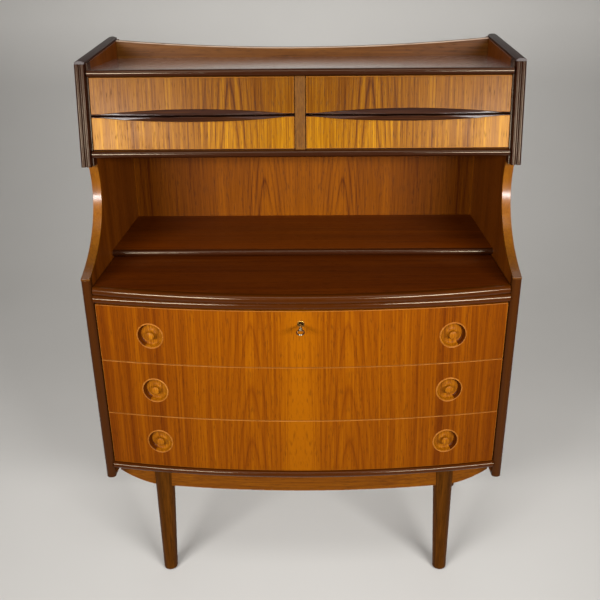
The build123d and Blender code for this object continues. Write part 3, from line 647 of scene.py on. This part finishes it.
# ---- mouldings and boards, in millimetres ----
SHARP_FROM = 38               # degrees: flatter edges than this are shaded smooth
BOARD_HALF, SLAB_HALF = 409, 407.5       # half widths between the sides, and of the slab
CASE_BOW, SLAB_BOW = 38, 50
BOARD_BACK = 10
NOSE_BULGE, RAIL_BULGE = 6, 7
STRAIGHT_MOULDINGS = (        # node, depth from back to front, front, underside, top
    ("top_moulding", 13.0, 315.6, 1104, 1118),
    ("niche_ceiling_moulding", 13.0, 341.99, 954, 968),
    ("niche_shelf_nosing", 10.0, 278.0, 728.5, 742))
RAIL_LOW, RAIL_HIGH, RAIL_FRONT = 692, 708.5, 456
MORTISE_HALF, MORTISE_DEEP = 12.5, 8.0      # the lock's mortise in the underside of the rail
MORTISE_BACK, MORTISE_FRONT = 424.5, 430.0  # before the bow moves them forwards


def arc_points(start, middle, end, steps=24):
    """Points of the circle arc through three points of a plane."""
    (ax, ay), (bx, by), (cx, cy) = start, middle, end
    d = 2 * (ax * (by - cy) + bx * (cy - ay) + cx * (ay - by))
    a2, b2, c2 = ax * ax + ay * ay, bx * bx + by * by, cx * cx + cy * cy
    ux = (a2 * (by - cy) + b2 * (cy - ay) + c2 * (ay - by)) / d
    uy = (a2 * (cx - bx) + b2 * (ax - cx) + c2 * (bx - ax)) / d
    radius = math.hypot(ax - ux, ay - uy)
    first, mid, last = [math.atan2(y - uy, x - ux) for x, y in (start, middle, end)]
    mid = first + (mid - first + math.pi) % (2 * math.pi) - math.pi
    last = mid + (last - mid + math.pi) % (2 * math.pi) - math.pi
    turns = [first + (last - first) * step / steps for step in range(steps + 1)]
    return [(ux + radius * math.cos(turn), uy + radius * math.sin(turn)) for turn in turns]


def loft(rings):
    """Points and faces of a closed body through equal rings of points, with its two ends."""
    count = len(rings[0])
    points = [point for ring in rings for point in ring]
    faces = [tuple(range(count)), tuple(reversed(range(len(points) - count, len(points))))]
    for row in range(len(rings) - 1):
        for step in range(count):
            after = (step + 1) % count
            faces.append((row * count + after, row * count + step, (row + 1) * count + step,
                          (row + 1) * count + after))
    return points, faces


def build_moulded(name, rings, look, body, slot, node):
    """Lofted piece with clean normals, in place of one CAD node."""
    piece = build_piece(name, *loft(rings), look, body, slot, (node,))
    mesh = bmesh.new()
    mesh.from_mesh(piece.data)
    bmesh.ops.remove_doubles(mesh, verts=mesh.verts, dist=1e-6)
    bmesh.ops.recalc_face_normals(mesh, faces=mesh.faces)
    mesh.to_mesh(piece.data)
    mesh.free()
    piece.data.set_sharp_from_angle(angle=math.radians(SHARP_FROM))


def nosing_outline(back, front, low, high, bulge):
    """Section (depth, height) of a board's rounded front edge, from its back edge round the front."""
    nose = arc_points((front - bulge, low), (front, (low + high) / 2), (front - bulge, high))
    return [(back, low), *nose, (back, high)]


def make_straight_mouldings():
    half = BOARD_HALF / 1000
    for node, deep, front, low, high in STRAIGHT_MOULDINGS:
        outline = nosing_outline(front - deep, front, low, high, NOSE_BULGE)
        rings = [[(x, fore(depth), z / 1000) for depth, z in outline] for x in (-half, half)]
        build_moulded(f"{node}_bead", rings, "moulding", "carcass", "dark_moulding", node)


def bow_ring(half, bow, x, outline, follows):
    """One ring of a bowed board. The points numbered in follows keep to the bow, the others stay straight."""
    radius = (half * half + bow * bow) / (2 * bow)
    forward = bow - (radius - math.sqrt(radius * radius - x * x))
    return [(x / 1000, fore(depth + (forward if index in follows else 0)), z / 1000)
            for index, (depth, z) in enumerate(outline)]


def spaced(half, steps=72):
    return [-half + 2 * half * step / steps for step in range(steps + 1)]


def make_slab_nosing():
    outline = nosing_outline(440, 456, 709, 726, NOSE_BULGE)
    rings = [bow_ring(SLAB_HALF, SLAB_BOW, x, outline, range(len(outline))) for x in spaced(SLAB_HALF)]
    build_moulded("slab_nosing_bead", rings, "rail", "writing_slab", "desk_board", "slab_nosing")


def make_bottom_board():
    outline = nosing_outline(BOARD_BACK, 458, 308, 322, NOSE_BULGE)
    bowed = range(1, len(outline) - 1)
    rings = [bow_ring(BOARD_HALF, CASE_BOW, x, outline, bowed) for x in spaced(BOARD_HALF)]
    build_moulded("bottom_board_beaded", rings, "rail", "carcass", "rail_wood", "bottom_board")


def make_rail():
    """Rail under the slab, with the lock's mortise in the middle of its underside."""
    span = [x for x in spaced(BOARD_HALF) if abs(x) > MORTISE_HALF]
    stations = [*[(x, 0) for x in span if x < 0], (-MORTISE_HALF, 0), (-MORTISE_HALF, MORTISE_DEEP),
                (MORTISE_HALF, MORTISE_DEEP), (MORTISE_HALF, 0), *[(x, 0) for x in span if x > 0]]
    start, *nose = nosing_outline(BOARD_BACK, RAIL_FRONT, RAIL_LOW, RAIL_HIGH, RAIL_BULGE)
    rings = []
    for x, deep in stations:
        mortise = [(MORTISE_BACK, RAIL_LOW), (MORTISE_BACK, RAIL_LOW + deep),
                   (MORTISE_FRONT, RAIL_LOW + deep), (MORTISE_FRONT, RAIL_LOW)]
        outline = [start, *mortise, *nose]
        rings.append(bow_ring(BOARD_HALF, CASE_BOW, x, outline, range(1, len(outline) - 1)))
    build_moulded("desk_rail_beaded", rings, "rail", "carcass", "rail_wood", "desk_rail")


# ---- front strips and caps, in millimetres ----
CAP_LINE, CAP_SLOPE = 1159.0, 31 / 314   # height of the sloping top edge at the back plane, and its slope
CAP_SIDE_HIGH, CAP_HIGH = 3.0, 6.0       # height of a cap's section at its sides and in its middle
CAP_ENDS = ((32.0, 0.5), (32.5, 0.15), (33.5, 0.0), (307.5, 0.0), (308.5, 0.15), (309.0, 0.5))
STRIP_LOW, STRIP_FRONT, STRIP_BACK = 938.0, 347.0, 310.58
STRIP_INNER, STRIP_OUTER = 412.0, 432.0
STRIP_MIDDLE = (STRIP_INNER + STRIP_OUTER) / 2
BEAD_WIDE, BEAD_HIGH, QUIRK = 9.5, 4.25, 1.0
REBATE_DEEP = 7


def make_front_strips():
    """Raked strips with two beads, cut to the slope of the caps."""
    base = STRIP_FRONT - BEAD_HIGH
    outline = [(BOARD_HALF, STRIP_BACK), (BOARD_HALF, base - REBATE_DEEP), (STRIP_INNER, base - REBATE_DEEP)]
    for start in (STRIP_INNER, STRIP_INNER + BEAD_WIDE + QUIRK):
        outline += arc_points((start, base), (start + BEAD_WIDE / 2, STRIP_FRONT), (start + BEAD_WIDE, base))
    outline.append((STRIP_OUTER, STRIP_BACK))
    slope = math.tan(RAKE)
    for side, sign in (("left", -1), ("right", 1)):
        rings = [[], []]
        for x, depth in outline:
            top = (CAP_LINE - CAP_SLOPE * (depth + slope * STRIP_LOW)) / (1 - CAP_SLOPE * slope)
            for ring, z in zip(rings, (STRIP_LOW, top)):
                ring.append((sign * x / 1000, fore(depth - slope * (z - STRIP_LOW)), z / 1000))
        build_moulded(f"upper_front_strip_{side}_beaded", rings, "strip", "carcass", "dark_moulding",
                      f"upper_front_strip_{side}")


def make_caps():
    """Rounded strips on the sloping tops of the sides, with softened ends.

    CAP_ENDS: depths of the rings, and how far each one is drawn in, in millimetres, at its sides and its top.
    """
    sides = (STRIP_INNER, CAP_SIDE_HIGH), (STRIP_OUTER, CAP_SIDE_HIGH)
    crown = arc_points(sides[0], (STRIP_MIDDLE, CAP_HIGH), sides[1], 16)
    section = rounded([(STRIP_INNER, 0.0), *crown, (STRIP_OUTER, 0.0)], 0.4, 3)
    half = (STRIP_OUTER - STRIP_INNER) / 2
    for side, sign in (("left", -1), ("right", 1)):
        rings = []
        for depth, shrink in CAP_ENDS:
            base = CAP_LINE - CAP_SLOPE * depth
            rings.append([(sign * (x + (STRIP_MIDDLE - x) * shrink / half) / 1000, fore(depth),
                           (base + z * (1 - shrink / CAP_HIGH)) / 1000) for x, z in section])
        build_moulded(f"side_cap_{side}_rounded", rings, "cap", "carcass", "dark_moulding", "side_caps")


# ---- stage ----
def studio_material():
    graph = Graph("studio_paper")
    place = graph.node("TexCoord").outputs["Object"]
    cloud = graph.noise(graph.scaled(place, 1.3), 3.0)
    colour = graph.mix(cloud, linear("CBC8C3"), linear("D4D1CC"))
    return graph.surface({"Base Color": colour, "Roughness": 0.85})


def make_stage():
    """Pale floor that sweeps up into a wall behind the desk."""
    half, near, far, bend, high, bend_steps = 9.0, -9.0, 3.2, 1.6, 6.0, 16
    profile = [(near, 0.0), (far - bend, 0.0)]
    for step in range(1, bend_steps):
        angle = math.radians(90 * step / bend_steps)
        profile.append((far - bend + bend * math.sin(angle), bend - bend * math.cos(angle)))
    profile += [(far, bend), (far, high)]
    mesh = bpy.data.meshes.new("studio_sweep")
    points = [(x, y, z) for y, z in profile for x in (-half, half)]
    faces = [(2 * i, 2 * i + 1, 2 * i + 3, 2 * i + 2) for i in range(len(profile) - 1)]
    mesh.from_pydata(points, [], faces)
    for polygon in mesh.polygons:
        polygon.use_smooth = True
    new_object("studio_sweep", mesh, studio_material())


def area_light(name, place, size, watts, aim=(0.0, 0.0, LIGHT_AIM_HEIGHT), spread=180):
    """Rectangular lamp of a width and height, turned to look at aim. spread is in degrees."""
    data = bpy.data.lights.new(name, "AREA")
    data.shape = "RECTANGLE"
    data.size, data.size_y = size
    data.energy = watts
    data.spread = math.radians(spread)
    lamp = bpy.data.objects.new(name, data)
    bpy.context.scene.collection.objects.link(lamp)
    lamp.location = place
    lamp.rotation_euler = (Vector(aim) - Vector(place)).to_track_quat("-Z", "Y").to_euler()


def make_lights():
    for number, (place, size, watts) in enumerate(KEY_LIGHTS):
        aim = (math.copysign(KEY_AIM, place[0]), 0.0, LIGHT_AIM_HEIGHT)
        area_light(f"softbox_{number}", place, size, watts, aim, KEY_SPREAD)
    area_light("overhead_fill", *FILL_LIGHT)
    area_light("wall_wash", *WALL_LIGHT, aim=WALL_AIM)
    world = bpy.data.worlds.new("studio")
    bpy.context.scene.world = world
    world.use_nodes = True
    background = world.node_tree.nodes["Background"]
    background.inputs["Color"].default_value = DAYLIGHT
    background.inputs["Strength"].default_value = AMBIENT


def make_camera():
    data = bpy.data.cameras.new("view")
    data.sensor_width = 36
    data.lens = CAMERA_LENS
    data.shift_x, data.shift_y = CAMERA_SHIFT
    camera = bpy.data.objects.new("view", data)
    bpy.context.scene.collection.objects.link(camera)
    turn = Matrix.Rotation(CAMERA_YAW, 4, "Z") @ Matrix.Rotation(math.pi / 2 + CAMERA_PITCH, 4, "X")
    camera.matrix_world = Matrix.Translation(CAMERA_PLACE) @ turn @ Matrix.Rotation(CAMERA_ROLL, 4, "Z")
    bpy.context.scene.camera = camera


dress_nodes()
make_pulls()
make_key()
make_escutcheon()
make_straight_mouldings()
make_slab_nosing()
make_bottom_board()
make_rail()
make_front_strips()
make_caps()
make_stage()
make_lights()
make_camera()
bpy.context.scene.view_settings.view_transform = "Standard"
